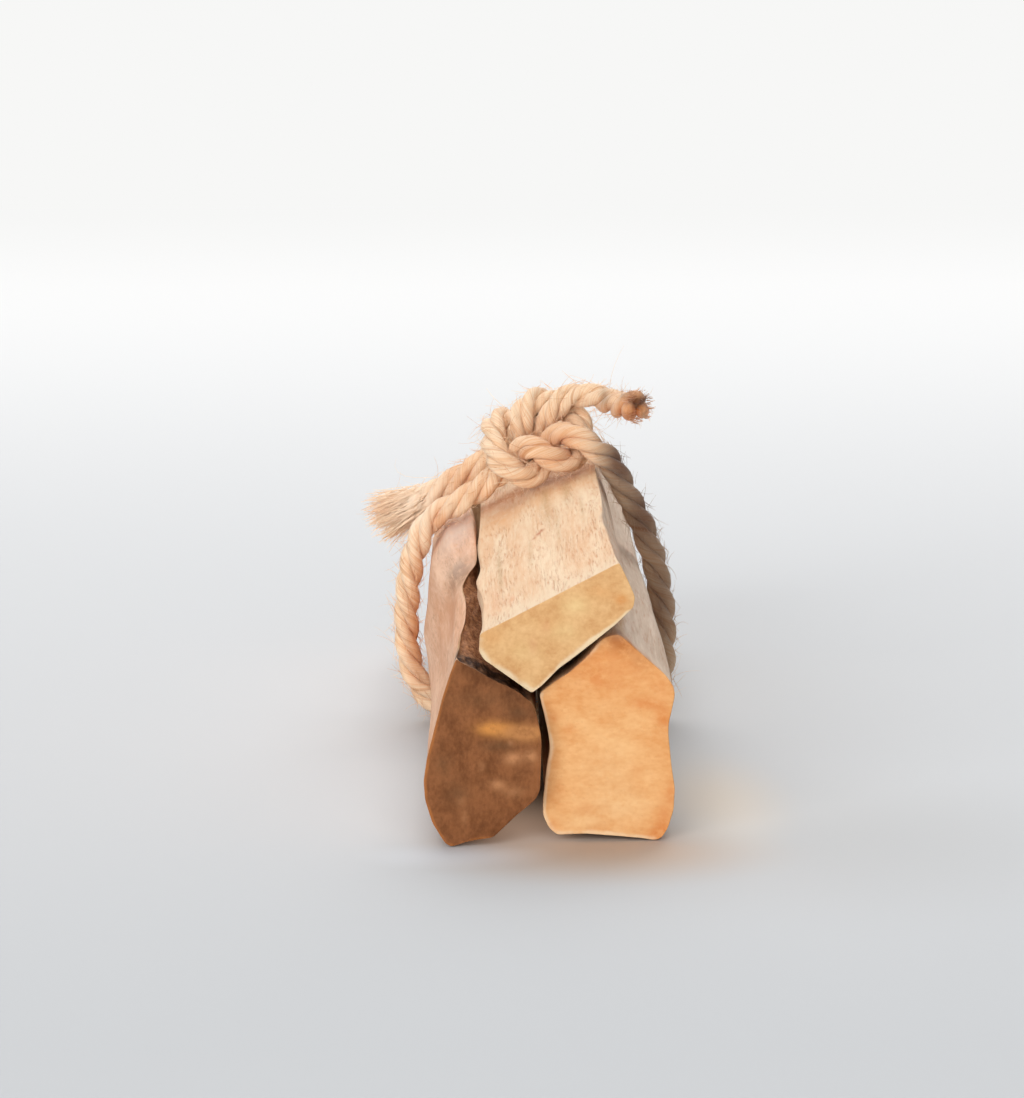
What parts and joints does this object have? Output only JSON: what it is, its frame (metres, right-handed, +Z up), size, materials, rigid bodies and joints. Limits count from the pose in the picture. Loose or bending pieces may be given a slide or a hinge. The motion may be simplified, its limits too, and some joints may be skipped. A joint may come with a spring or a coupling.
{
  "type": "palo santo stick bundle",
  "caption": "Bundle of hand-split palo santo sticks with sawn ends, held together by a turn of jute twine knotted on top.",
  "frame": {"origin": "centre of the bounding box's bottom, on the surface that the bundle rests on", "axes": "+Y along the sticks from the near sawn ends to the far ones, +X to the right as seen from the near ends, +Z up"},
  "size_m": [0.031, 0.0982, 0.0366],
  "materials": {
    "pale_wood": "raw split wood, unfinished",
    "dark_wood": "raw sawn wood, dark and oily",
    "tan_wood": "raw sawn wood, unfinished",
    "jute": "laid natural jute fibre"
  },
  "bodies": {
    "root": {"stick_top": "pale_wood", "stick_left": "dark_wood", "stick_right": "tan_wood", "jute_twine": "jute"}
  },
  "joints": []
}
